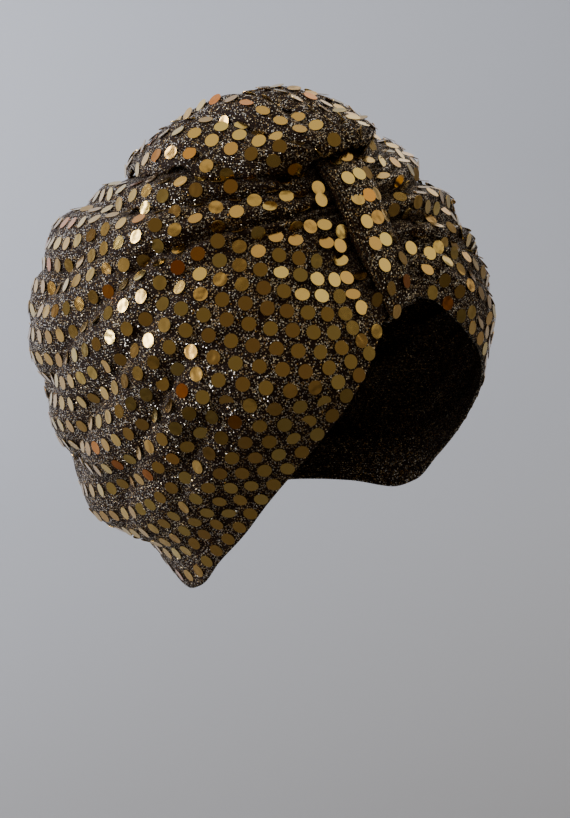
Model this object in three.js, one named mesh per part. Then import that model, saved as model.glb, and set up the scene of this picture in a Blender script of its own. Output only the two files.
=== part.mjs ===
import * as THREE from "three";

// A front-twist turban of stretch cloth, held in the shape it has on a head. Sizes in millimetres.
// +X is the wearer's left, -Y the wearer's front, +Z up.
// The origin is the middle of the head, level with the brows.

// Main sizes
const HALF_WIDTH = 103;
const FRONT_REACH = 95;
const BACK_REACH = 130;
const CROWN_RISE = 127;
const HUB_BACK = 5;
const HUB_HEIGHT = 30;
const BRIM_HEIGHT = 57;
const EAR_HEIGHT = -79;
const CLOTH = 2;
const CLEARANCE = 0.3;
const FOLD_HEIGHT = 10;

// Band over the twist
const BAND_WIDTH = 31;
const BAND_STAND = 4;
const BAND_TUCK = 14;

// Crown roll: how far it stands up, and the room it leaves for the band at the twist
const CROWN_STAND = 6;
const TWIST_ROOM = 2.85;

// Shares of the length over which the roll rises from the twist, closes on the wraps and loses height
const ROLL_RISES_BY = 0.16;
const ROLL_CLOSES_BY = 0.2;
const ROLL_FALL = 0.6;

// Angles in degrees: how far the wraps reach in under the roll, and where the band ends
const TUCK_DEGREES = 4;
const BAND_TOP_DEGREES = 57;

// Cuts of the grids along each piece
const WRAP_ROWS = 26;
const ROLL_ROWS = 24;
const BAND_ROWS = { tuck: 3, bend: 4, outer: 14 };
const BAND_LANES = 8;

// The sign of X on each side of the head
const RIGHT = -1;
const LEFT = 1;

// Cloth colours
const COLOURS = { right_wrap: 0x3a2c1a, left_wrap: 0x3a2c1a, crown_roll: 0x46351e, twist_band: 0x503c20 };

const HUB = new THREE.Vector3(0, HUB_BACK, HUB_HEIGHT);
const rad = THREE.MathUtils.degToRad;
const mix = THREE.MathUtils.lerp;

// How far the form stands out from its hub at each elevation, as shares of the main sizes.
const FORM = [
  { elevation: -60, front: 1.2, frontCorner: 1.12, side: 1.28, backCorner: 1.12, back: 1.06 },
  { elevation: -50, front: 1.12, frontCorner: 1.05, side: 1.17, backCorner: 1.03, back: 0.95 },
  { elevation: -40, front: 1.06, frontCorner: 1.01, side: 1.06, backCorner: 1.06, back: 0.97 },
  { elevation: -28, front: 1.03, frontCorner: 1.0, side: 1.02, backCorner: 1.09, back: 1.0 },
  { elevation: -14, front: 1.01, frontCorner: 1.02, side: 1.03, backCorner: 1.08, back: 1.0 },
  { elevation: 0, front: 1.0, frontCorner: 1.06, side: 1.03, backCorner: 1.08, back: 0.99 },
  { elevation: 13, front: 0.96, frontCorner: 1.02, side: 1.03, backCorner: 1.08, back: 0.98 },
  { elevation: 30, front: 0.88, frontCorner: 0.94, side: 1.0, backCorner: 1.04, back: 0.95 },
  { elevation: 48, front: 0.91, frontCorner: 0.91, side: 0.95, backCorner: 0.93, back: 0.89 },
  { elevation: 62, front: 0.92, frontCorner: 0.9, side: 0.93, backCorner: 0.87, back: 0.87 },
  { elevation: 75, front: 0.93, frontCorner: 0.92, side: 0.91, backCorner: 0.88, back: 0.88 },
  { elevation: 90, front: 0.91, frontCorner: 0.91, side: 0.91, backCorner: 0.91, back: 0.91 },
];
const FORM_COLUMNS = ["front", "frontCorner", "side", "backCorner", "back"];

// The hem round one side: turn from the front in degrees, height as a share from ear tip (0) to brim (1).
const HEM = [
  { turn: 0, height: 1 },
  { turn: 12, height: 0.955 },
  { turn: 18, height: 0.87 },
  { turn: 24, height: 0.785 },
  { turn: 30, height: 0.71 },
  { turn: 38, height: 0.615 },
  { turn: 49, height: 0.49 },
  { turn: 57, height: 0.4 },
  { turn: 68, height: 0.275 },
  { turn: 82, height: 0.15 },
  { turn: 95, height: 0.035 },
  { turn: 106, height: 0 },
  { turn: 125, height: 0.03 },
  { turn: 150, height: 0.07 },
  { turn: 180, height: 0.09 },
];

// The edge of the crown roll from its front corner to the centre back, and how far round the wraps reach.
const PARTING = [
  { along: 0, turn: 19, elevation: 50, wrapTurn: 0.5 },
  { along: 0.1, turn: 40, elevation: 52, wrapTurn: 30 },
  { along: 0.22, turn: 62, elevation: 54, wrapTurn: 58 },
  { along: 0.4, turn: 92, elevation: 55, wrapTurn: 92 },
  { along: 0.6, turn: 122, elevation: 54, wrapTurn: 123 },
  { along: 0.8, turn: 148, elevation: 51, wrapTurn: 152 },
  { along: 1, turn: 171, elevation: 47, wrapTurn: 179.5 },
];

// Folds of each wrap from the hem up: where each one's upper edge runs and how high it stands, as shares.
const RIGHT_FOLDS = [
  {
    atTwist: 0.1, atSide: 0.08, atBack: 0.14, lean: 0, cuts: 3,
    highTwist: 0, highNear: 0, highSide: 0, highBack: 0,
  },
  {
    atTwist: 0.24, atSide: 0.24, atBack: 0.32, lean: 1, cuts: 6,
    highTwist: 0, highNear: 0, highSide: 0.25, highBack: 1.15,
  },
  {
    atTwist: 0.4, atSide: 0.42, atBack: 0.48, lean: 0.3, cuts: 5,
    highTwist: 0, highNear: 0, highSide: 0.1, highBack: 0.5,
  },
  {
    atTwist: 0.62, atSide: 0.68, atBack: 0.68, lean: 0.3, cuts: 6,
    highTwist: 0.05, highNear: 0.15, highSide: 0.25, highBack: 0.8,
  },
  {
    atTwist: 0.76, atSide: 0.84, atBack: 0.83, lean: 0.3, cuts: 5,
    highTwist: 0.05, highNear: 0.4, highSide: 0.7, highBack: 0.9,
  },
  {
    atTwist: 0.87, atSide: 0.945, atBack: 0.945, lean: 0.3, cuts: 4,
    highTwist: 0.05, highNear: 0.3, highSide: 0.4, highBack: 0.6,
  },
  {
    atTwist: 1, atSide: 1, atBack: 1, lean: 0, cuts: 2,
    highTwist: 0, highNear: 0, highSide: 0, highBack: 0,
  },
];
const LEFT_FOLDS = [
  {
    atTwist: 0.1, atSide: 0.08, atBack: 0.14, lean: 0, cuts: 3,
    highTwist: 0, highNear: 0, highSide: 0, highBack: 0,
  },
  {
    atTwist: 0.3, atSide: 0.26, atBack: 0.3, lean: 0.9, cuts: 6,
    highTwist: 0, highNear: 0.2, highSide: 0.2, highBack: 1,
  },
  {
    atTwist: 0.48, atSide: 0.45, atBack: 0.5, lean: 0.3, cuts: 5,
    highTwist: 0.05, highNear: 0.3, highSide: 0.3, highBack: 0.6,
  },
  {
    atTwist: 0.62, atSide: 0.66, atBack: 0.67, lean: 0.3, cuts: 6,
    highTwist: 0.05, highNear: 0.6, highSide: 0.6, highBack: 0.8,
  },
  {
    atTwist: 0.78, atSide: 0.86, atBack: 0.84, lean: 0.3, cuts: 5,
    highTwist: 0.05, highNear: 0.6, highSide: 0.7, highBack: 0.8,
  },
  {
    atTwist: 0.87, atSide: 0.945, atBack: 0.945, lean: 0.3, cuts: 4,
    highTwist: 0.05, highNear: 0.4, highSide: 0.4, highBack: 0.6,
  },
  {
    atTwist: 1, atSide: 1, atBack: 1, lean: 0, cuts: 2,
    highTwist: 0, highNear: 0, highSide: 0, highBack: 0,
  },
];

const CROWN_FOLDS = [
  {
    atTwist: 0.3, atSide: 0.28, atBack: 0.3, lean: 0, cuts: 5,
    highTwist: 0.3, highNear: 0.5, highSide: 0.6, highBack: 0.3,
  },
  {
    atTwist: 0.55, atSide: 0.52, atBack: 0.5, lean: 0, cuts: 4,
    highTwist: 0.3, highNear: 0.4, highSide: 0.4, highBack: 0.3,
  },
  {
    atTwist: 0.78, atSide: 0.75, atBack: 0.7, lean: 0, cuts: 4,
    highTwist: 0.3, highNear: 0.4, highSide: 0.4, highBack: 0.3,
  },
  {
    atTwist: 1, atSide: 1, atBack: 1, lean: 0, cuts: 4,
    highTwist: 0.3, highNear: 0.5, highSide: 0.5, highBack: 0.3,
  },
];

// The band from the brim over the twist and in under the crown roll: its middle, width and stand.
const BAND = [
  { along: 0, middle: -6, width: 0.62, stand: 0, lift: 0 },
  { along: 0.2, middle: -3, width: 0.9, stand: 0.6, lift: 2 },
  { along: 0.42, middle: -1, width: 1, stand: 1, lift: 2 },
  { along: 0.7, middle: 1, width: 1, stand: 1, lift: 2 },
  { along: 1, middle: 3, width: 1, stand: 0, lift: 2 },
];

// A column of a table at one place, eased smoothly from row to row.
function read(rows, key, column, at) {
  const last = rows.length - 1;
  const x = Math.min(Math.max(at, rows[0][key]), rows[last][key]);
  let i = 0;
  while (i < last - 1 && x > rows[i + 1][key]) i += 1;
  const rise = (k) => (rows[k + 1][column] - rows[k][column]) / (rows[k + 1][key] - rows[k][key]);
  const slope = (k) => {
    if (k <= 0 || k >= last) return 0;
    const before = rise(k - 1);
    const after = rise(k);
    return before * after <= 0 ? 0 : (2 * before * after) / (before + after);
  };
  const span = rows[i + 1][key] - rows[i][key];
  const u = (x - rows[i][key]) / span;
  const v = 1 - u;
  return (
    rows[i][column] * v * v * (1 + 2 * u) +
    rows[i + 1][column] * u * u * (3 - 2 * u) +
    slope(i) * span * u * v * v -
    slope(i + 1) * span * u * u * v
  );
}

// A direction from the hub: turn from the front, elevation, and the side of the head.
function direction(turn, elevation, side) {
  const flat = Math.cos(rad(elevation));
  const sideways = side * flat * Math.sin(rad(turn));
  return new THREE.Vector3(sideways, -flat * Math.cos(rad(turn)), Math.sin(rad(elevation)));
}

// The point of the form in a direction.
function formPoint(dir) {
  const elevation = THREE.MathUtils.radToDeg(Math.asin(THREE.MathUtils.clamp(dir.z, -1, 1)));
  const turn = THREE.MathUtils.radToDeg(Math.atan2(Math.abs(dir.x), -dir.y));
  const reachAt = (column) => read(FORM, "elevation", column, elevation);
  const ring = FORM_COLUMNS.map((column, i) => ({ turn: 45 * i, reach: reachAt(column) }));
  const reach = read(ring, "turn", "reach", turn);
  return new THREE.Vector3(
    reach * HALF_WIDTH * dir.x,
    HUB_BACK + reach * (dir.y < 0 ? FRONT_REACH : BACK_REACH) * dir.y,
    HUB_HEIGHT + reach * CROWN_RISE * dir.z,
  );
}

// The direction of the hem at a true turn round the head, found by halving the range of elevations.
function hemDirection(turn, side) {
  const height = mix(EAR_HEIGHT, BRIM_HEIGHT, read(HEM, "turn", "height", turn));
  let low = -75;
  let high = 60;
  let scaledTurn = turn;
  let dir;
  for (let i = 0; i < 24; i += 1) {
    dir = direction(scaledTurn, (low + high) / 2, side);
    const p = formPoint(dir);
    if (p.z < height) low = (low + high) / 2;
    else high = (low + high) / 2;
    scaledTurn += 0.7 * (turn - THREE.MathUtils.radToDeg(Math.atan2(Math.abs(p.x), -p.y)));
    scaledTurn = THREE.MathUtils.clamp(scaledTurn, 0, 180);
  }
  return dir;
}

// A direction a share of the way round from one to another.
function between(a, b, share) {
  const angle = a.angleTo(b);
  if (angle < 1e-6) return a.clone();
  const s = Math.sin(angle);
  return a
    .clone()
    .multiplyScalar(Math.sin((1 - share) * angle) / s)
    .addScaledVector(b, Math.sin(share * angle) / s)
    .normalize();
}

// A value between its places along a piece: the twist, beside it, the side and the back.
const PLACES = { Twist: 0, Near: 0.15, Side: 0.5, Back: 1 };
function course(row, prefix, along) {
  const stops = Object.keys(PLACES)
    .filter((place) => row[prefix + place] !== undefined)
    .map((place) => ({ at: PLACES[place], value: row[prefix + place] }));
  return read(stops, "at", "value", along);
}

// The lines of the grid across a piece: the fold each lies in and how far through it.
function linesOf(folds) {
  const lines = [{ fold: 0, through: 0 }];
  folds.forEach((row, fold) => {
    for (let i = 1; i <= row.cuts; i += 1) lines.push({ fold, through: i / row.cuts });
  });
  return lines;
}

// Where one grid line runs across a piece, and how far its fold stands up and leans there.
const FIRST_EDGE = { atTwist: 0, atSide: 0, atBack: 0 };
function foldAt(folds, line, along) {
  const row = folds[line.fold];
  const from = course(line.fold ? folds[line.fold - 1] : FIRST_EDGE, "at", along);
  const to = course(row, "at", along);
  const arch = Math.pow(Math.sin(Math.PI * line.through), 0.75);
  const high = FOLD_HEIGHT * course(row, "high", along) * arch;
  return { across: mix(from, to, line.through), high, lean: row.lean * high };
}

// A grid of points on the form, lifted off it and pushed out by the folds.
function clothGrid(bare, folds, rows, lift) {
  const lines = linesOf(folds);
  const step = 0.004;
  const grid = [];
  for (let r = 0; r <= rows; r += 1) {
    const along = r / rows;
    grid.push(
      lines.map((line) => {
        const { across, high, lean } = foldAt(folds, line, along);
        const a = THREE.MathUtils.clamp(along, step, 1 - step);
        const c = THREE.MathUtils.clamp(across, step, 1 - step);
        const up = bare(a, c + step).sub(bare(a, c - step)).normalize();
        const on = bare(a + step, c).sub(bare(a - step, c)).normalize();
        const p = bare(along, across);
        const out = new THREE.Vector3().crossVectors(up, on).normalize();
        if (out.dot(p.clone().sub(HUB)) < 0) out.negate();
        return p.addScaledVector(out, high + lift(along, across)).addScaledVector(up, -lean);
      }),
    );
  }
  return grid;
}

// A closed shell: the grid as its outer face, a second grid one cloth further in, and a rim.
function shell(name, grid, facing, meeting) {
  const rows = grid.length;
  const columns = grid[0].length;
  const at = (r, c) => grid[THREE.MathUtils.clamp(r, 0, rows - 1)][THREE.MathUtils.clamp(c, 0, columns - 1)];
  const positions = [];
  for (const depth of [0, CLOTH])
    for (let r = 0; r < rows; r += 1)
      for (let c = 0; c < columns; c += 1) {
        const across = at(r, c + 1).clone().sub(at(r, c - 1));
        const along = at(r + 1, c).clone().sub(at(r - 1, c));
        const out = new THREE.Vector3().crossVectors(across, along).normalize();
        const p = at(r, c).clone().addScaledVector(out, -depth * facing);
        if (meeting && (r === 0 || r === rows - 1)) p.x = (meeting * CLEARANCE) / 2;
        positions.push(...p.toArray());
      }
  const index = [];
  const id = (layer, r, c) => layer * rows * columns + r * columns + c;
  const quad = (a, b, c, d) => {
    if (facing > 0) index.push(a, b, c, a, c, d);
    else index.push(a, c, b, a, d, c);
  };
  for (let r = 0; r < rows - 1; r += 1)
    for (let c = 0; c < columns - 1; c += 1) {
      quad(id(0, r, c), id(0, r, c + 1), id(0, r + 1, c + 1), id(0, r + 1, c));
      quad(id(1, r, c), id(1, r + 1, c), id(1, r + 1, c + 1), id(1, r, c + 1));
    }
  for (let c = 0; c < columns - 1; c += 1) {
    quad(id(0, 0, c + 1), id(0, 0, c), id(1, 0, c), id(1, 0, c + 1));
    quad(id(0, rows - 1, c), id(0, rows - 1, c + 1), id(1, rows - 1, c + 1), id(1, rows - 1, c));
  }
  for (let r = 0; r < rows - 1; r += 1) {
    quad(id(0, r, 0), id(0, r + 1, 0), id(1, r + 1, 0), id(1, r, 0));
    quad(id(0, r + 1, columns - 1), id(0, r, columns - 1), id(1, r, columns - 1), id(1, r + 1, columns - 1));
  }
  const geometry = new THREE.BufferGeometry();
  geometry.setAttribute("position", new THREE.Float32BufferAttribute(positions, 3));
  geometry.setIndex(index);
  const material = new THREE.MeshStandardMaterial({ color: COLOURS[name], roughness: 0.6, metalness: 0.1 });
  const mesh = new THREE.Mesh(geometry, material);
  mesh.name = name;
  return mesh;
}

// How far round the hem a share of a wrap's length has come.
const hemTurn = (along) => 180 * (0.75 * along + 0.25 * along * along);

// A wrap before its folds: from the hem up to under the crown roll.
function wrapBare(side) {
  return (along, across) => {
    const hem = hemDirection(hemTurn(along), side);
    const turn = read(PARTING, "along", "wrapTurn", along);
    const top = direction(turn, read(PARTING, "along", "elevation", along) + TUCK_DEGREES, side);
    return formPoint(between(hem, top, across));
  };
}

// The crown roll before its folds: from one side of the head over to the other.
function crownBare(along, across) {
  const turn = read(PARTING, "along", "turn", along);
  const elevation = read(PARTING, "along", "elevation", along);
  return formPoint(between(direction(turn, elevation, RIGHT), direction(turn, elevation, LEFT), across));
}

// The crown roll lies over the wraps' upper edges and stands up between its own.
function crownLift(along, across) {
  const rise = Math.pow(Math.sin(Math.PI * THREE.MathUtils.clamp(across, 0, 1)), 0.5);
  const front = Math.sin(Math.PI * Math.min(along / ROLL_RISES_BY, 0.5));
  const room = (CLOTH + TWIST_ROOM) * (1 - THREE.MathUtils.smoothstep(along, 0, ROLL_CLOSES_BY));
  return CLOTH + CLEARANCE + room + CROWN_STAND * rise * front * (1 - ROLL_FALL * along);
}

// The band's lanes run up inside the brim, round its edge, over the twist and in under the crown roll.
function bandGrid() {
  const brimElevation = THREE.MathUtils.radToDeg(Math.asin(hemDirection(0, RIGHT).z));
  const spot = (share, u) => {
    const width = BAND_WIDTH * read(BAND, "along", "width", share);
    const x = read(BAND, "along", "middle", share) + 0.5 * u * width;
    const side = x < 0 ? RIGHT : LEFT;
    const hem = hemDirection(THREE.MathUtils.radToDeg(Math.atan2(Math.abs(x), FRONT_REACH)), side);
    const hemElevation = THREE.MathUtils.radToDeg(Math.asin(hem.z));
    const start = mix(hemElevation, brimElevation, Math.min(share, 1));
    const elevation = mix(start, BAND_TOP_DEGREES, share);
    const turn = THREE.MathUtils.radToDeg(Math.asin(Math.abs(x) / (HALF_WIDTH * Math.cos(rad(elevation)))));
    return formPoint(direction(turn, elevation, side));
  };
  const grid = [];
  const addRow = (place) => {
    const lane = [];
    for (let i = 0; i <= BAND_LANES; i += 1) lane.push(place((2 * i) / BAND_LANES - 1));
    grid.push(lane);
  };
  const frameAt = (share, u) => {
    const up = spot(share + 0.01, u).sub(spot(share - 0.01, u)).normalize();
    const across = spot(share, u + 0.05).sub(spot(share, u - 0.05)).normalize();
    return { up, out: new THREE.Vector3().crossVectors(across, up).normalize() };
  };
  for (let k = BAND_ROWS.tuck; k > 0; k -= 1) {
    const share = ((k / BAND_ROWS.tuck) * BAND_TUCK) / CROWN_RISE;
    addRow((u) => spot(share, u).addScaledVector(frameAt(share, u).out, -(2 * CLOTH + 3 * CLEARANCE)));
  }
  const radius = 1.5 * CLOTH + 3 * CLEARANCE;
  for (let k = BAND_ROWS.bend; k > 0; k -= 1) {
    const angle = (Math.PI * k) / BAND_ROWS.bend;
    addRow((u) => {
      const { up, out } = frameAt(0.01, u);
      return spot(0, u)
        .addScaledVector(out, radius * Math.cos(angle) - CLOTH / 2)
        .addScaledVector(up, -radius * Math.sin(angle));
    });
  }
  for (let r = 0; r <= BAND_ROWS.outer; r += 1) {
    const share = r / BAND_ROWS.outer;
    addRow((u) => {
      const stand = BAND_STAND * read(BAND, "along", "stand", share) * Math.pow(1 - u * u, 0.6);
      const lift = read(BAND, "along", "lift", share) + stand;
      return spot(share, u).addScaledVector(frameAt(Math.max(share, 0.01), u).out, CLOTH + CLEARANCE + lift);
    });
  }
  return grid;
}

const noLift = () => 0;
const turban = new THREE.Group();
turban.name = "turban";
turban.add(shell("right_wrap", clothGrid(wrapBare(RIGHT), RIGHT_FOLDS, WRAP_ROWS, noLift), LEFT, RIGHT));
turban.add(shell("left_wrap", clothGrid(wrapBare(LEFT), LEFT_FOLDS, WRAP_ROWS, noLift), RIGHT, LEFT));
turban.add(shell("crown_roll", clothGrid(crownBare, CROWN_FOLDS, ROLL_ROWS, crownLift), LEFT));
turban.add(shell("twist_band", bandGrid(), LEFT));
export default turban;
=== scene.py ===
import math
import random

import bmesh
import bpy
import numpy as np
from mathutils import Matrix, Vector
from mathutils.kdtree import KDTree


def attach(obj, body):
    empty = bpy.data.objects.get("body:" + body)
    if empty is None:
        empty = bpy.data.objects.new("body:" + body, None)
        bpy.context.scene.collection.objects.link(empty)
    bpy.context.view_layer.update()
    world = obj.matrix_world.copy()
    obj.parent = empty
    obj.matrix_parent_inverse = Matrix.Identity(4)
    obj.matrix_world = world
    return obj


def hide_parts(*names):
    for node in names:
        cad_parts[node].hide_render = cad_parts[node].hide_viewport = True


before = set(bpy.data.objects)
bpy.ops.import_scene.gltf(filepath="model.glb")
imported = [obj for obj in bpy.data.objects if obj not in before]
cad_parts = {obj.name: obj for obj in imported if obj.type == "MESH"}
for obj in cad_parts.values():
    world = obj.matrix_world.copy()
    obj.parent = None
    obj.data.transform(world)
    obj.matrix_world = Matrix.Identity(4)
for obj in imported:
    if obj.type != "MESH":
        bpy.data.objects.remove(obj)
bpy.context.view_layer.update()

# Lengths are in millimetres, and go into Blender as metres.
METRE = 1000
# Sizes of the turban, the same as the CAD part's.
HALF_WIDTH = 103
FRONT_REACH = 95
BACK_REACH = 130
CROWN_RISE = 127
HUB = np.array([0, 5, 30.0])
BRIM_HEIGHT = 57
EAR_HEIGHT = -79
CLOTH = 2
CLEARANCE = 0.3
FOLD_HEIGHT = 10
BAND_WIDTH = 31
BAND_STAND = 4
BAND_TUCK = 14
CROWN_STAND = 6
BAND_TOP_DEGREES = 57
TUCK_DEGREES = 4
# Sizes that only the look has: depths of the fine folds, the knit and the sequins.
PLEAT_DEPTH = 8
ROLL_PLEAT_DEPTH = 7
SWEEP_DEPTH = 4.5
ROLL_SIDE_SWELL = 2
ROLL_EDGE = 1.2
ROLL_ROOM = 2.85
SEAM_OVERLAP = 0.4
BAND_RIB = 0.3
KNIT = 1.3
SEQUIN = 6.9
SEQUIN_THICKNESS = 0.22
SEQUIN_PITCH = 11.1
BAND_SEQUIN_PITCH = 8.8
SEQUIN_STAND = 0.35
DEEPEST_DENT = 2.6
# Sequins: corners of each disc, how far most of them tilt, how many hang looser and how far, how near
# their middles may come as a share of their width, how much of a bump under one lifts it, and how many
# of the last ones laid can be its neighbours.
SEQUIN_SIDES = 18
TILT = 0.055
LOOSE_TILT = 0.2
LOOSE_SHARE = 0.1
NEAREST_SHARE = 0.98
BUMP_SHARE = 0.8
RECENT = 400
# Their lattice: the cloth's usual width as a share of its widest, spare lines past its edges, and steps
# along a line for each row of the cloth's grid.
USUAL_WIDTH = 0.93
SPARE_LINES = 30
STEPS_PER_ROW = 8
# Grids: rows along each cloth, and cuts of each fold for one of the CAD's.
WRAP_ROWS = 170
WRAP_FINER = 5
ROLL_ROWS = 140
ROLL_FINER = 6
BAND_LANES = 30
BAND_ROWS = 90
BAND_BEND_ROWS = 10
BAND_TUCK_ROWS = 8
# Steps in which the height of the hem is found.
HALVINGS = 24

RIGHT, LEFT = -1, 1

random.seed(11)

# How far the form stands out from its hub, as shares of the main sizes.
FORM_ELEVATIONS = [-60, -50, -40, -28, -14, 0, 13, 30, 48, 62, 75, 90]
FORM_TURNS = [0, 45, 90, 135, 180]
FORM = [
    # front, front corner, side, back corner, back
    [1.2, 1.12, 1.28, 1.12, 1.06],
    [1.12, 1.05, 1.17, 1.03, 0.95],
    [1.06, 1.01, 1.06, 1.06, 0.97],
    [1.03, 1.0, 1.02, 1.09, 1.0],
    [1.01, 1.02, 1.03, 1.08, 1.0],
    [1.0, 1.06, 1.03, 1.08, 0.99],
    [0.96, 1.02, 1.03, 1.08, 0.98],
    [0.88, 0.94, 1.0, 1.04, 0.95],
    [0.91, 0.91, 0.95, 0.93, 0.89],
    [0.92, 0.9, 0.93, 0.87, 0.87],
    [0.93, 0.92, 0.91, 0.88, 0.88],
    [0.91, 0.91, 0.91, 0.91, 0.91],
]
# The hem: turn from the front in degrees, height as a share from ear tip to brim.
HEM_HEIGHT = 1
HEM = [
    (0, 1), (12, 0.955), (18, 0.87), (24, 0.785), (30, 0.71), (38, 0.615), (49, 0.49), (57, 0.4),
    (68, 0.275), (82, 0.15), (95, 0.035), (106, 0), (125, 0.03), (150, 0.07), (180, 0.09),
]
# The edge of the crown roll: along, turn, elevation, and the turn that the wraps reach under it.
ROLL_TURN, ROLL_ELEVATION, WRAP_TURN = 1, 2, 3
PARTING = [
    (0, 19, 50, 0.5),
    (0.1, 40, 52, 30),
    (0.22, 62, 54, 58),
    (0.4, 92, 55, 92),
    (0.6, 122, 54, 123),
    (0.8, 148, 51, 152),
    (1, 171, 47, 179.5),
]
# Folds from the hem up. Each has its upper edge at the twist, side and back, its height at the twist,
# beside it, at the side and back, how far it leans over, and its cuts.
RIGHT_FOLDS = [
    ((0.1, 0.08, 0.14), (0, 0, 0, 0), 0, 3),
    ((0.24, 0.24, 0.32), (0, 0, 0.25, 1.15), 1, 6),
    ((0.4, 0.42, 0.48), (0, 0, 0.1, 0.5), 0.3, 5),
    ((0.62, 0.68, 0.68), (0.05, 0.15, 0.25, 0.8), 0.3, 6),
    ((0.76, 0.84, 0.83), (0.05, 0.35, 0.4, 0.7), 0.3, 5),
    ((0.87, 0.945, 0.945), (0.05, 0.25, 0.0, 0.2), 0.3, 4),
    ((1, 1, 1), (0, 0, 0, 0), 0, 2),
]
LEFT_FOLDS = [
    ((0.1, 0.08, 0.14), (0, 0, 0, 0), 0, 3),
    ((0.3, 0.26, 0.3), (0, 0.2, 0.2, 1), 0.9, 6),
    ((0.48, 0.45, 0.5), (0.05, 0.3, 0.3, 0.6), 0.3, 5),
    ((0.62, 0.66, 0.67), (0.05, 0.6, 0.6, 0.8), 0.3, 6),
    ((0.78, 0.86, 0.84), (0.05, 0.6, 0.7, 0.8), 0.3, 5),
    ((0.87, 0.945, 0.945), (0.05, 0.4, 0.4, 0.6), 0.3, 4),
    ((1, 1, 1), (0, 0, 0, 0), 0, 2),
]
CROWN_FOLDS = [
    ((0.3, 0.28, 0.3), (0.3, 0.5, 0.6, 0.3), 0, 5),
    ((0.55, 0.52, 0.5), (0.3, 0.4, 0.4, 0.3), 0, 4),
    ((0.78, 0.75, 0.7), (0.3, 0.4, 0.4, 0.3), 0, 4),
    ((1, 1, 1), (0.3, 0.5, 0.5, 0.3), 0, 4),
]
# The band over the twist: along, middle, width share, stand share, lift.
BAND_MIDDLE, BAND_WIDTH_SHARE, BAND_STAND_SHARE, BAND_LIFT = 1, 2, 3, 4
BAND = [(0, -6, 0.62, 0, 0), (0.2, -3, 0.9, 0.6, 2), (0.42, -1, 1, 1, 2), (0.7, 1, 1, 1, 2), (1, 3, 1, 0, 2)]


def eased(knots, values, at):
    """Values at places between knots, eased smoothly; values may differ for each place."""
    knots = np.asarray(knots, float)
    at = np.clip(np.asarray(at, float), knots[0], knots[-1])
    values = np.broadcast_to(np.asarray(values, float), at.shape + (len(knots),))
    spans = np.diff(knots)
    rises = np.diff(values, axis=-1) / spans
    before, after = rises[..., :-1], rises[..., 1:]
    both = before + after
    inner = np.where(before * after > 0, 2 * before * after / np.where(both == 0, 1, both), 0)
    ends = np.zeros(at.shape + (1,))
    slopes = np.concatenate([ends, inner, ends], axis=-1)
    i = np.clip(np.searchsorted(knots, at, side="left") - 1, 0, len(knots) - 2)

    def pick(array, k):
        return np.take_along_axis(array, k[..., None], axis=-1)[..., 0]

    span = spans[i]
    u = (at - knots[i]) / span
    v = 1 - u
    return (pick(values, i) * v * v * (1 + 2 * u) + pick(values, i + 1) * u * u * (3 - 2 * u)
            + pick(slopes, i) * span * u * v * v - pick(slopes, i + 1) * span * u * u * v)


def column(rows, k, at):
    """Column k of a table, eased between its rows."""
    return eased([r[0] for r in rows], [r[k] for r in rows], at)


def direction(turn, elevation, side):
    """A direction from the hub: turn from the front and elevation in degrees, on one side."""
    turn, elevation = np.radians(turn), np.radians(elevation)
    flat = np.cos(elevation)
    x, y, z = np.broadcast_arrays(side * flat * np.sin(turn), -flat * np.cos(turn), np.sin(elevation))
    return np.stack([x, y, z], -1)


def form_point(d):
    """The point of the form in each direction."""
    elevation = np.degrees(np.arcsin(np.clip(d[..., 2], -1, 1)))
    turn = np.degrees(np.arctan2(np.abs(d[..., 0]), -d[..., 1]))
    ring = [eased(FORM_ELEVATIONS, [row[k] for row in FORM], elevation) for k in range(len(FORM_TURNS))]
    reach = eased(FORM_TURNS, np.stack(ring, -1), turn)
    depth = np.where(d[..., 1] < 0, FRONT_REACH, BACK_REACH)
    x, y, z = reach * HALF_WIDTH * d[..., 0], reach * depth * d[..., 1], reach * CROWN_RISE * d[..., 2]
    return HUB + np.stack([x, y, z], -1)


def hem_direction(turn, side):
    """The direction of the hem at each true turn round the head."""
    turn = np.asarray(turn, float)
    height = EAR_HEIGHT + (BRIM_HEIGHT - EAR_HEIGHT) * column(HEM, HEM_HEIGHT, turn)
    low, high, scaled = np.full(turn.shape, -75.0), np.full(turn.shape, 60.0), turn.copy()
    for _ in range(HALVINGS):
        middle = (low + high) / 2
        d = direction(scaled, middle, side)
        p = form_point(d)
        under = p[..., 2] < height
        low, high = np.where(under, middle, low), np.where(under, high, middle)
        true = np.degrees(np.arctan2(np.abs(p[..., 0]), -p[..., 1]))
        scaled = np.clip(scaled + 0.7 * (turn - true), 0, 180)
    return d


def between(a, b, share):
    """Directions a share of the way round from a to b."""
    angle = np.arccos(np.clip((a * b).sum(-1), -1, 1))[..., None]
    share = share[..., None]
    return (np.sin((1 - share) * angle) * a + np.sin(share * angle) * b) / np.sin(angle)


def unit(v):
    """Vectors made one long."""
    return v / np.maximum(np.linalg.norm(v, axis=-1, keepdims=True), 1e-9)


def blend(a, b, share):
    """A share of the way from a to b."""
    return a * (1 - share) + b * share


def smooth(share):
    """A share from 0 to 1 that starts and ends gently."""
    return share * share * (3 - 2 * share)


def within(at, start, rise, end, fall):
    """1 between start and end, running to 0 over the rise after the start and the fall before the end."""
    return np.clip((at - start) / rise, 0, 1) * np.clip((end - at) / fall, 0, 1)


def ridges(waves, roundness, sink):
    """Rounded ridges with sharp valleys between them, sunk by a share so that most of it is cut inwards."""
    return np.abs(np.sin(waves)) ** roundness - sink


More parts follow.
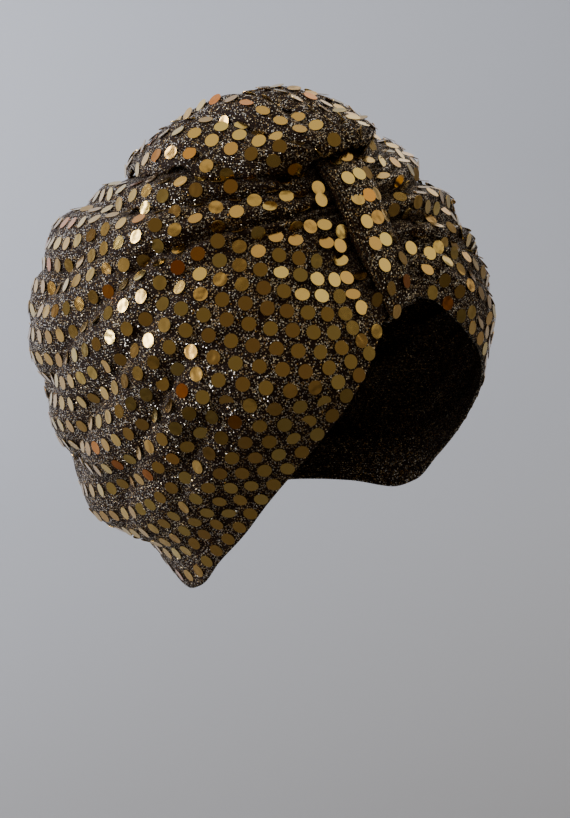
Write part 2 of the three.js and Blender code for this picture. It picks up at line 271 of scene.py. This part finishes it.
def bare_wrap(side):
    """The form under one wrap, from the hem to under the edge of the crown roll."""
    def bare(along, across):
        along = along[:, :1]
        hem = hem_direction(180 * (0.75 * along + 0.25 * along ** 2), side)
        elevation = column(PARTING, ROLL_ELEVATION, along) + TUCK_DEGREES
        top = direction(column(PARTING, WRAP_TURN, along), elevation, side)
        return form_point(between(hem, top, across))
    return bare


def bare_crown(along, across):
    """The form under the crown roll, from its right edge to its left."""
    turn, elevation = column(PARTING, ROLL_TURN, along[:, :1]), column(PARTING, ROLL_ELEVATION, along[:, :1])
    return form_point(between(direction(turn, elevation, RIGHT), direction(turn, elevation, LEFT), across))


def no_lift(along, across):
    """The wraps lie straight on the form."""
    return 0 * along


def crown_lift(along, across):
    """The roll stands over the wraps and the band's end, plump in the middle and turned in at its edges."""
    rise = np.sin(np.pi * np.clip(across, 0, 1)) ** 0.5
    front = np.sin(np.pi * np.minimum(along / 0.16, 0.5))
    room = (CLOTH + ROLL_ROOM) * (1 - smooth(np.clip(along / 0.2, 0, 1)))
    plump = np.clip(np.minimum(across, 1 - across) / 0.1, 0, 1)
    turned_in = (2 * plump - plump * plump) ** 0.5
    over_wraps = ROLL_EDGE + turned_in * (CLOTH + CLEARANCE - ROLL_EDGE + room)
    return over_wraps + CROWN_STAND * rise * front * (1 - 0.6 * along)


def wrinkles(along, across, seed, near, reach):
    """Small gathers that run out from the twist, and soft uneven waves in the cloth."""
    bend = 0.05 * np.sin(5 * along + seed)
    fine = np.sin(2 * np.pi * (17 * (across + bend) + 0.6 * np.sin(9 * across + seed)))
    mid = np.sin(2 * np.pi * (8.3 * (across + 0.5 * bend) + 1.1 * along) + seed)
    broad = np.sin(9 * across + 7 * along + seed) * np.sin(13 * along - 5 * across + 2 * seed)
    fade = np.exp(-((along / reach) ** 1.5))
    return near * fade * fine + 0.45 * (0.35 + fade) * mid + 0.5 * broad


def pleats(along, across, seed, count, deep, start, end):
    """Rounded ridges with sharp valleys that fan out from the twist and die away towards the back."""
    sway = 0.018 * np.sin(11 * across + seed), 0.03 * np.sin(3.1 * along + seed), 0.012 * np.sin(17 * along)
    warp = across + sway[0] + sway[1] + sway[2]
    main = ridges(np.pi * count * warp + seed, 0.6, 0.78)
    second = ridges(np.pi * 1.83 * count * warp + 2 * seed + 3 * along, 0.7, 0.75)
    rise = np.clip(along / 0.14, 0, 1) ** 0.7
    fall = 1 - 0.75 * np.clip((along - 0.35) / 0.5, 0, 1)
    uneven = 0.7 + 0.3 * np.sin(5 * along + 8 * across + seed)
    return deep * rise * fall * within(across, start, 0.12, end, 0.06) * uneven * (main + 0.4 * second)


def sweeps(along, across, seed):
    """Deep diagonal folds where the cloth swings down round the side of the head."""
    slant = across + 0.75 * along + 0.02 * np.sin(9 * along + seed)
    main = ridges(np.pi * 6.5 * slant + seed, 0.65, 0.7)
    return SWEEP_DEPTH * main * within(along, 0.34, 0.1, 0.92, 0.2) * within(across, 0.12, 0.12, 0.8, 0.12)


def roll_side(along, across):
    """The fold that swells up against the edge of the crown roll."""
    near_roll = np.exp(-(((across - 0.9) / 0.026) ** 2))
    return ROLL_SIDE_SWELL * near_roll * np.clip((along - 0.04) / 0.1, 0, 1)


def wrap_wave(seed, count, start):
    """The fine folds of one wrap: its number of pleats, and where across the cloth they start."""
    def wave(along, across):
        return (wrinkles(along, across, seed, 1.0, 0.16)
                + pleats(along, across, seed, count, PLEAT_DEPTH, start, 0.92)
                + sweeps(along, across, seed) + roll_side(along, across))
    return wave


def roll_wave(along, across):
    """The fine folds of the crown roll."""
    seed = 2.2
    return (wrinkles(along, across, seed, 0.6, 0.12)
            + pleats(along, across, seed, 5, ROLL_PLEAT_DEPTH, -0.1, 1.06))


def fold_shape(through):
    """The height of a fold from its lower edge to its upper one, as a share."""
    return math.sin(math.pi * through) ** 0.75 if 0 < through < 1 else 0.0


def cloth_points(bare, folds, rows, finer, lift, wave):
    """Grid of points on the form, pushed out by the folds, with how far along and across each one is."""
    lines = [(0, 0.0)]
    for k, fold in enumerate(folds):
        cuts = fold[3] * finer
        lines += [(k, i / cuts) for i in range(1, cuts + 1)]
    t = np.linspace(0, 1, rows + 1)
    across, high, lean = [], [], []
    for k, through in lines:
        edge, heights, leaning, _ = folds[k]
        lower = folds[k - 1][0] if k else (0, 0, 0)
        start, end = eased([0, 0.5, 1], lower, t), eased([0, 0.5, 1], edge, t)
        across.append(start + (end - start) * through)
        height = FOLD_HEIGHT * eased([0, 0.15, 0.5, 1], heights, t) * fold_shape(through)
        high.append(height)
        lean.append(leaning * height)
    across, high, lean = (np.stack(a, 1) for a in (across, high, lean))
    along = np.repeat(t[:, None], across.shape[1], 1)
    p = bare(along, across)
    up = unit(np.gradient(p, axis=1))
    out = unit(np.cross(up, np.gradient(p, axis=0)))
    out *= np.sign((out * (p - HUB)).sum(-1, keepdims=True))
    push = high + lift(along, across) + wave(along, across) * within(across, 0, 0.06, 1, 0.06)
    return p + out * push[..., None] - up * lean[..., None], along, across


def band_points(lanes, outer_rows, bend_rows, tuck_rows):
    """The band's lanes run up inside the brim, round its edge, over the twist and in under the crown roll."""
    brim = math.degrees(math.asin(hem_direction(np.zeros(1), RIGHT)[0, 2]))
    u = np.linspace(-1, 1, lanes + 1)

    def spot(share, u):
        at = np.full_like(u, share)
        x = column(BAND, BAND_MIDDLE, at) + 0.5 * u * BAND_WIDTH * column(BAND, BAND_WIDTH_SHARE, at)
        side = np.where(x < 0, RIGHT, LEFT)
        hem_turn = np.degrees(np.arctan2(np.abs(x), FRONT_REACH))
        hem = np.degrees(np.arcsin(hem_direction(hem_turn, LEFT)[..., 2]))
        start = hem + (brim - hem) * min(share, 1)
        elevation = start + (BAND_TOP_DEGREES - start) * share
        turn = np.degrees(np.arcsin(np.abs(x) / (HALF_WIDTH * np.cos(np.radians(elevation)))))
        return form_point(direction(turn, elevation, side))

    def axes(share):
        up = unit(spot(share + 0.01, u) - spot(share - 0.01, u))
        across = unit(spot(share, u + 0.05) - spot(share, u - 0.05))
        return up, unit(np.cross(across, up))

    rows = []
    for k in range(tuck_rows, 0, -1):
        share = k / tuck_rows * BAND_TUCK / CROWN_RISE
        rows.append(spot(share, u) - (2 * CLOTH + 3 * CLEARANCE) * axes(share)[1])
    radius = 1.5 * CLOTH + 3 * CLEARANCE
    up, out = axes(0.01)
    for k in range(bend_rows, 0, -1):
        a = math.pi * k / bend_rows
        rows.append(spot(0, u) + out * (radius * math.cos(a) - CLOTH / 2) - up * radius * math.sin(a))
    for r in range(outer_rows + 1):
        share = r / outer_rows
        over_wraps = 1 + (CLOTH + CLEARANCE - 1) * (1 - 0.9 * u ** 6)
        lifted = column(BAND, BAND_LIFT, share) * (1 - 0.6 * u ** 6)
        rounded = column(BAND, BAND_STAND_SHARE, share) * BAND_STAND * (1 - u * u) ** 0.5 * (1.05 - 0.75 * u)
        ribs = BAND_RIB * np.sin(2 * np.pi * 4.5 * u + 0.5 * math.sin(5 * share)) * (1 - u ** 8)
        stand = over_wraps + (lifted + rounded) + ribs
        rows.append(spot(share, u) + axes(max(share, 0.01))[1] * stand[:, None])
    p = np.stack(rows)
    along = np.repeat(np.linspace(0, 1, len(rows))[:, None], lanes + 1, 1)
    across = np.repeat(((u + 1) / 2)[None], len(rows), 0)
    return p, along, across


def wander_edges(points):
    """The edges of the crown roll wander a little where the cloth is tucked in."""
    p, along, across = points
    edge_way = unit(np.gradient(p, axis=1))
    wander = 2.6 * np.sin(23 * along) + 1.5 * np.sin(41 * along + 1)
    near_edge = np.clip(1 - across / 0.12, 0, 1) ** 2 + np.clip(1 - (1 - across) / 0.12, 0, 1) ** 2
    p += edge_way * (wander * near_edge * np.clip(along / 0.08, 0, 1))[..., None]


def join_at_back(right, left):
    """The wraps are sewn together down the centre back, where both run into one seam line."""
    seam = (right[0][-1] + left[0][-1]) / 2 * (0, 1, 1)
    for (p, along, _), side in ((right, RIGHT), (left, LEFT)):
        p += (seam - p[-1]) * smooth(np.clip((along - 0.88) / 0.12, 0, 1)[..., None])
        p[..., 0] = side * np.maximum(side * p[..., 0], 0)
        p[-1, :, 0] = -side * SEAM_OVERLAP


def new_piece(name, bm, material):
    """An object from a finished bmesh."""
    mesh = bpy.data.meshes.new(name)
    bm.to_mesh(mesh)
    bm.free()
    piece = bpy.data.objects.new(name, mesh)
    bpy.context.scene.collection.objects.link(piece)
    mesh.materials.append(material)
    return piece


def cloth_piece(name, points, width, material):
    """One sheet of knit made from a grid, with its thickness inwards."""
    p, _, across = points
    rows, columns = p.shape[0] - 1, p.shape[1] - 1
    steps = np.linalg.norm(np.diff(p, axis=0), axis=-1)
    run = np.concatenate([np.zeros((1, columns + 1)), np.cumsum(steps, 0)])
    bm = bmesh.new()
    bmesh.ops.create_grid(bm, x_segments=columns, y_segments=rows, size=1)
    place = {}
    for v in bm.verts:
        i, j = round((v.co.y + 1) / 2 * rows), round((v.co.x + 1) / 2 * columns)
        place[v] = (i, j)
        v.co = Vector(p[i, j]) / METRE
    uv = bm.loops.layers.uv.new("cloth")
    for face in bm.faces:
        face.smooth = True
        for loop in face.loops:
            i, j = place[loop.vert]
            loop[uv].uv = (run[i, j] / METRE, across[i, j] * width / METRE)
    bm.normal_update()
    bm.faces.ensure_lookup_table()
    face = bm.faces[len(bm.faces) // 2]
    if face.normal.dot(face.calc_center_median() - Vector(HUB) / METRE) < 0:
        bmesh.ops.reverse_faces(bm, faces=bm.faces)
    piece = new_piece(name, bm, material)
    thick = piece.modifiers.new("thickness", "SOLIDIFY")
    thick.thickness = KNIT / METRE
    thick.offset = -1
    return piece


def lay_lattice(points, spread, origin, phase, start_row, pitch):
    """Places for sequins: lines that follow the cloth, a pitch apart, with a place each pitch along them.

    The lines are counted across from the origin, and the phase is how much of a pitch the first is past it.
    The spread says how far they keep their distance where the cloth narrows. The places along each line are
    counted from the start row."""
    p, _, across = points
    rows, columns = p.shape[:2]
    middle = rows // 2, columns // 2
    widths = np.linalg.norm(np.diff(p, axis=1), axis=-1).sum(1)
    share = (widths / widths.max()) ** spread
    normal = unit(np.cross(np.gradient(p, axis=1), np.gradient(p, axis=0)))
    if (normal[middle] * (p[middle] - HUB)).sum() < 0:
        normal = -normal
    mean_pitch = pitch / (widths.max() * USUAL_WIDTH)
    last = int(0.5 / mean_pitch) + SPARE_LINES
    fine = np.linspace(0, rows - 1, rows * STEPS_PER_ROW)
    low = np.clip(fine.astype(int), 0, rows - 2)
    part = (fine - low)[:, None]
    r = np.arange(rows)
    spots = []
    for k in range(-last, last + 1):
        target = (k + phase) * mean_pitch / share + origin
        j = np.array([np.interp(target[i], across[i], np.arange(columns), left=-1, right=-1) for i in r])
        on_cloth = j >= 0
        if on_cloth.sum() < 4:
            continue
        left = np.clip(j.astype(int), 0, columns - 2)
        past = np.clip(j - left, 0, 1)[:, None]
        line = blend(p[r, left], p[r, left + 1], past)
        line_normal = unit(blend(normal[r, left], normal[r, left + 1], past))
        q = blend(line[low], line[low + 1], part)
        n = unit(blend(line_normal[low], line_normal[low + 1], part))
        usable = on_cloth[low] & on_cloth[low + 1]
        length = np.concatenate([[0], np.cumsum(np.linalg.norm(np.diff(q, axis=0), axis=-1))])
        length -= np.interp(start_row, fine, length)
        first, final = math.ceil(length[0] / SEQUIN_PITCH), math.floor(length[-1] / SEQUIN_PITCH)
        for s in np.arange(first, final + 1) * SEQUIN_PITCH:
            i = int(np.clip(np.searchsorted(length, s), 1, len(q) - 2))
            if not usable[i]:
                continue
            tangent = q[i + 1] - q[i - 1]
            tangent /= max(np.linalg.norm(tangent), 1e-9)
            spots.append((q[i], n[i], tangent, fine[i] / (rows - 1), target[low[i]]))
    return spots


def sequin_piece(name, spots, cloth, material, allowed):
    """Flat round foil sequins sewn through the middle, lying on the cloth and a little tilted.

    Each is kept clear of the ones laid last, which hold all its neighbours."""
    knots = cloth.reshape(-1, 3)
    tree = KDTree(len(knots))
    for i, q in enumerate(knots):
        tree.insert(q, i)
    tree.balance()
    bm = bmesh.new()
    tone = bm.faces.layers.float.new("tone")
    placed = []
    for spot, normal, tangent, t, c in spots:
        if not allowed(spot, t, c):
            continue
        place, n = Vector(spot), Vector(normal)
        if any((q - place).length < NEAREST_SHARE * SEQUIN for q in placed[-RECENT:]):
            continue
        near = [Vector(q) - place for q, _, _ in tree.find_range(spot, SEQUIN * 0.5)]
        high = max([0.0] + [v.dot(n) for v in near])
        if high > DEEPEST_DENT:
            continue
        leaning = Vector((random.gauss(0, 1), random.gauss(0, 1), random.gauss(0, 1)))
        leaning *= LOOSE_TILT if random.random() < LOOSE_SHARE else TILT
        n = (n + leaning).normalized()
        side = n.cross(Vector(tangent)).normalized()
        turned = Matrix((side.cross(n), side, n)).transposed().to_4x4()
        centre = place + Vector(normal) * (SEQUIN_STAND + BUMP_SHARE * high)
        placed.append(place)
        made = bmesh.ops.create_cone(
            bm, cap_ends=True, segments=SEQUIN_SIDES, radius1=SEQUIN / 2 / METRE, radius2=SEQUIN / 2 / METRE,
            depth=SEQUIN_THICKNESS / METRE, matrix=Matrix.Translation(centre / METRE) @ turned,
        )
        value = random.random()
        for face in {f for v in made["verts"] for f in v.link_faces}:
            face[tone] = value
    return new_piece(name, bm, material)


def linear(code):
    """An sRGB hex colour as linear RGBA."""
    parts = [int(code[i:i + 2], 16) / 255 for i in (1, 3, 5)]
    return [*(c / 12.92 if c <= 0.04045 else ((c + 0.055) / 1.055) ** 2.4 for c in parts), 1]


def add(tree, kind, settings=None, inputs=None):
    """A shader node with its settings, and its inputs set or linked."""
    node = tree.nodes.new(kind)
    for key, value in (settings or {}).items():
        setattr(node, key, value)
    for key, value in (inputs or {}).items():
        if isinstance(value, bpy.types.NodeSocket):
            tree.links.new(value, node.inputs[key])
        else:
            node.inputs[key].default_value = value
    return node


def ramp(tree, value, stops):
    """A value turned into colours or shares by its stops."""
    node = add(tree, "ShaderNodeValToRGB", inputs={0: value})
    while len(node.color_ramp.elements) < len(stops):
        node.color_ramp.elements.new(0.5)
    for element, (at, colour) in zip(node.color_ramp.elements, stops):
        element.position = at
        element.color = linear(colour) if isinstance(colour, str) else (colour, colour, colour, 1)
    return node.outputs[0]


def new_material(name):
    """A material with its node tree and its shader."""
    material = bpy.data.materials.new(name)
    material.use_nodes = True
    return material, material.node_tree, material.node_tree.nodes["Principled BSDF"]


# Flecks and the patches in which they crowd, in millimetres; a band of Blender's wave texture at scale 1.
FLECK = 2 / 3
FLECK_PATCH = 6.25
WAVE_BAND = 314
# Dents in the foil to the metre, one about every 5 mm.
FOIL_DENTS = 190.0


def knit_material(name, ground, rib):
    """Stretch knit shot with metal thread: dark ribs run along the cloth and tiny flecks flash from it."""
    material, tree, shader = new_material(name)
    uv = add(tree, "ShaderNodeUVMap", {"uv_map": "cloth"}).outputs[0]
    place = add(tree, "ShaderNodeTexCoord").outputs["Object"]
    # Flecks of metal thread, each in its own cell and turned its own way, crowded in some patches.
    cells = add(tree, "ShaderNodeTexVoronoi", {"feature": "F1"}, {"Vector": place, "Scale": METRE / FLECK})
    spread = add(tree, "ShaderNodeTexNoise",
                 inputs={"Vector": place, "Scale": METRE / FLECK_PATCH, "Detail": 2.0})
    pick = add(tree, "ShaderNodeSeparateColor", inputs={0: cells.outputs["Color"]})
    lean = add(tree, "ShaderNodeMath", {"operation": "MULTIPLY_ADD"},
               {0: spread.outputs[0], 1: 0.55, 2: -0.27})
    chance = add(tree, "ShaderNodeMath", {"operation": "ADD"}, {0: pick.outputs[0], 1: lean.outputs[0]})
    fleck = ramp(tree, chance.outputs[0], [(0.55, 0.0), (0.6, 1.0)])
    dot = ramp(tree, cells.outputs["Distance"], [(0.42, 1.0), (0.55, 0.0)])
    mask = add(tree, "ShaderNodeMath", {"operation": "MULTIPLY"}, {0: fleck, 1: dot})
    fleck_colour = ramp(tree, pick.outputs[1], [(0.0, "#a87c3c"), (0.45, "#e0cba0"), (1.0, "#fffcf2")])
    # Ribs of the knit, a column of stitches each.
    ribs = add(tree, "ShaderNodeTexWave", {"wave_type": "BANDS", "bands_direction": "Y"},
               {"Vector": uv, "Scale": WAVE_BAND / rib, "Distortion": 1.5, "Detail": 1.0}).outputs[1]
    ground_colour = add(tree, "ShaderNodeMix", {"data_type": "RGBA"},
                        {0: ribs, 6: linear(ground[0]), 7: linear(ground[1])})
    colour = add(tree, "ShaderNodeMix", {"data_type": "RGBA"},
                 {0: mask.outputs[0], 6: ground_colour.outputs[2], 7: fleck_colour})
    tree.links.new(colour.outputs[2], shader.inputs["Base Color"])
    tree.links.new(mask.outputs[0], shader.inputs["Metallic"])
    # The yarn is matt and the flecks are bright.
    rough = ramp(tree, mask.outputs[0], [(0.0, 0.72), (1.0, 0.28)])
    tree.links.new(rough, shader.inputs["Roughness"])
    shader.inputs["Specular IOR Level"].default_value = 0.15
    # The ribs stand up a little, and every fleck faces its own way.
    raised = add(tree, "ShaderNodeBump", inputs={"Height": ribs, "Strength": 0.5, "Distance": 0.4 / METRE})
    turned = add(tree, "ShaderNodeVectorMath", {"operation": "SUBTRACT"},
                 {0: cells.outputs["Color"], 1: (0.5, 0.5, 0.5)})
    scaled = add(tree, "ShaderNodeVectorMath", {"operation": "SCALE"}, {0: turned.outputs[0], "Scale": 1.7})
    only = add(tree, "ShaderNodeVectorMath", {"operation": "MULTIPLY"},
               {0: scaled.outputs[0], 1: mask.outputs[0]})
    summed = add(tree, "ShaderNodeVectorMath", {"operation": "ADD"},
                 {0: raised.outputs[0], 1: only.outputs[0]})
    aimed = add(tree, "ShaderNodeVectorMath", {"operation": "NORMALIZE"}, {0: summed.outputs[0]})
    tree.links.new(aimed.outputs[0], shader.inputs["Normal"])
    return material


def foil_material():
    """Gold foil punched into round sequins: mirror-bright with faint dents, some paler at random, and a few
    given a painted coppery colour that stands in for reflections of warm light.
    """
    material, tree, shader = new_material("gold_foil_sequin")
    place = add(tree, "ShaderNodeTexCoord").outputs["Object"]
    tone = add(tree, "ShaderNodeAttribute", {"attribute_name": "tone"}).outputs["Fac"]
    # Gold tones that vary at random; the coppery stops at the top are a painted reflection of warm light on a
    # few sequins.
    golds_and_warm_reflections = [(0.0, "#bd9453"), (0.45, "#cca65b"), (0.93, "#d9bd6e"), (0.96, "#cf974a"), (1.0, "#c06c2c")]
    tree.links.new(ramp(tree, tone, golds_and_warm_reflections), shader.inputs["Base Color"])
    shader.inputs["Metallic"].default_value = 1.0
    rough = ramp(tree, tone, [(0.0, 0.14), (0.5, 0.2), (0.75, 0.12), (1.0, 0.18)])
    tree.links.new(rough, shader.inputs["Roughness"])
    dents = add(tree, "ShaderNodeTexNoise", inputs={"Vector": place, "Scale": FOIL_DENTS, "Detail": 1.0})
    bump = add(tree, "ShaderNodeBump",
               inputs={"Height": dents.outputs[0], "Strength": 0.3, "Distance": 0.7 / METRE})
    tree.links.new(bump.outputs[0], shader.inputs["Normal"])
    return material


def paper_material():
    """Matt background paper with painted shade and light: a darker grey is painted underfoot, under and in
    front of the turban where its lower sequins reflect it, and a pale cool grey painted as light up the wall.
    """
    material, tree, shader = new_material("backdrop_paper")
    place = add(tree, "ShaderNodeTexCoord").outputs["Object"]
    # Painted shade and light: the paper darkens towards the floor under and in front of the turban and pales
    # up the wall.
    onward = add(tree, "ShaderNodeVectorMath", {"operation": "DOT_PRODUCT"}, {0: place, 1: (0.2, 0.22, 0.25)})
    share = add(tree, "ShaderNodeMath", {"operation": "ADD"}, {0: onward.outputs["Value"], 1: 0.08})
    painted_shade_and_light_greys = [(0.0, "#66635f"), (0.05, "#98989a"), (0.38, "#b2b5bc"), (0.8, "#d2d7e2")]
    tree.links.new(ramp(tree, share.outputs[0], painted_shade_and_light_greys), shader.inputs["Base Color"])
    shader.inputs["Roughness"].default_value = 0.9
    return material


knit = knit_material("metal_thread_knit", ("#1d110a", "#301d12"), 1.1)
ribbed = knit_material("metal_thread_knit_ribbed", ("#0a0503", "#3c2818"), 1.3)
foil = foil_material()

right_wave, left_wave = wrap_wave(1.3, 9, 0.58), wrap_wave(4.1, 8, 0.22)
right = cloth_points(bare_wrap(RIGHT), RIGHT_FOLDS, WRAP_ROWS, WRAP_FINER, no_lift, right_wave)
left = cloth_points(bare_wrap(LEFT), LEFT_FOLDS, WRAP_ROWS, WRAP_FINER, no_lift, left_wave)
crown = cloth_points(bare_crown, CROWN_FOLDS, ROLL_ROWS, ROLL_FINER, crown_lift, roll_wave)
band = band_points(BAND_LANES, BAND_ROWS, BAND_BEND_ROWS, BAND_TUCK_ROWS)
wander_edges(crown)
join_at_back(right, left)


def on_wrap(spot, t, c):
    """Sequins keep off the hem, the cloth under the roll and the band, and the centre-back seam."""
    under_band = abs(spot[0]) < 17 and spot[1] < 0
    return 0.016 < c < 0.945 and t < 0.985 and not under_band and abs(spot[0]) > 2


def on_crown(spot, t, c):
    """Sequins keep off the roll's edges."""
    return 0.01 < c < 0.99 and 0.012 < t < 0.97


def on_band(spot, t, c):
    """Sequins keep off the band's edges, its hooked end and its tucked end."""
    return 0.05 < c < 0.95 and 0.14 < t < 0.95


# Each cloth: its grid, its mean width in millimetres, its knit and its slot.
cloths = {
    "right_wrap": (right, 230, knit, "wrap_cloth"),
    "left_wrap": (left, 230, knit, "wrap_cloth"),
    "crown_roll": (crown, 150, knit, "roll_cloth"),
    "twist_band": (band, 33, ribbed, "band_cloth"),
}
# Each cloth's sequins: their spread, origin, phase, start row and pitch, and where they may lie.
HEM_LINE, MIDDLE_LINE = 0, 0.5
lattices = {
    "right_wrap": (0.45, HEM_LINE, 0.5, 70, SEQUIN_PITCH, on_wrap),
    "left_wrap": (0.45, HEM_LINE, 0.5, 70, SEQUIN_PITCH, on_wrap),
    "crown_roll": (0.5, MIDDLE_LINE, 0.3, 60, SEQUIN_PITCH, on_crown),
    "twist_band": (0.2, MIDDLE_LINE, 0, 60, BAND_SEQUIN_PITCH, on_band),
}

knits = {}
for node, (points, width, material, _) in cloths.items():
    knits[node] = cloth_piece(node + "_knit", points, width, material)

sequins = {}
for node, (spread, origin, phase, start_row, pitch, allowed) in lattices.items():
    points = cloths[node][0]
    spots = lay_lattice(points, spread, origin, phase, start_row, pitch)
    sequins[node] = sequin_piece(node + "_sequins", spots, points[0], foil, allowed)


for node, (points, _, _, slot) in cloths.items():
    piece = knits[node]
    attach(piece, "root")
    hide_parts(node)
    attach(sequins[node], "root")

# A pale sweep of paper behind and below, in metres: floor, curve and wall.
SWEEP_LENGTH = 6.2
SWEEP_HALF_WIDTH = 3.2
FLOOR_START = 1.6
FLOOR_DROP = 0.42
BEND_START = 1.2
BEND_LENGTH = 1.1
BEND_REACH = 0.7
toward = Vector((0.669, 0.743, 0))
sideways = Vector((0.743, -0.669, 0))
bm = bmesh.new()
bmesh.ops.create_grid(bm, x_segments=2, y_segments=48, size=1)
for v in bm.verts:
    run = (v.co.y + 1) / 2 * SWEEP_LENGTH - FLOOR_START
    bend = min(max((run - BEND_START) / BEND_LENGTH, 0), 1) * math.pi / 2
    flat = min(run, BEND_START) + BEND_REACH * math.sin(bend)
    rise = BEND_REACH * (1 - math.cos(bend)) + max(run - BEND_START - BEND_LENGTH, 0)
    v.co = toward * flat + sideways * (v.co.x * SWEEP_HALF_WIDTH) + Vector((0, 0, -FLOOR_DROP + rise))
for face in bm.faces:
    face.smooth = True
backdrop = new_piece("backdrop", bm, paper_material())

world = bpy.data.worlds.new("studio_dusk")
bpy.context.scene.world = world
world.use_nodes = True
surroundings = world.node_tree.nodes["Background"]
surroundings.inputs["Color"].default_value = linear("#8f867b")
surroundings.inputs["Strength"].default_value = 0.65


def panel(name, size, energy, colour, place, aim):
    """A soft light panel aimed at a point."""
    light = bpy.data.lights.new(name, "AREA")
    light.shape = "RECTANGLE"
    light.size, light.size_y = size
    light.energy = energy
    light.color = linear(colour)[:3]
    lamp = bpy.data.objects.new(name, light)
    bpy.context.scene.collection.objects.link(lamp)
    lamp.location = place
    lamp.rotation_euler = (Vector(aim) - Vector(place)).to_track_quat("-Z", "Y").to_euler()


# Light from above, on the wall, from the front right and from the side, and a small flash from the left.
panel("top_panel", (2.4, 2.4), 12.5, "#fffbec", (0.1, 0.4, 1.7), (0, 0, 0))
panel("wall_panel", (0.8, 1.6), 78, "#f4f6ff", (-1.3, 1.4, 1.0), (0.3, 1.9, 0.5))
panel("front_right_panel", (1.4, 1.4), 5.2, "#fffbec", (1.04, -0.82, 0.76), (0, 0, 0.08))
panel("side_panel", (0.9, 0.9), 2.6, "#fff6ea", (1.3, 0.4, 0.6), (0, 0, 0.08))
panel("flash", (0.08, 0.08), 1.3, "#fffaf0", (-1.15, 0.1, 0.4), (0, 0, 0.05))

# The camera: its place in metres, the way it looks, its sideways axis, and its sensor and lens.
EYE = Vector((-0.62878, -0.69833, 0.26702))
AHEAD = Vector((0.635772, 0.719891, -0.27848))
ACROSS = Vector((0.709186, -0.687219, -0.157431))
SENSOR = 36
LENS = 121.3
camera = bpy.data.objects.new("camera", bpy.data.cameras.new("camera"))
bpy.context.scene.collection.objects.link(camera)
bpy.context.scene.camera = camera
turned = Matrix((ACROSS, ACROSS.cross(AHEAD), -AHEAD)).transposed().to_4x4()
camera.matrix_world = Matrix.Translation(EYE) @ turned
camera.data.sensor_fit = "HORIZONTAL"
camera.data.sensor_width = SENSOR
camera.data.lens = LENS
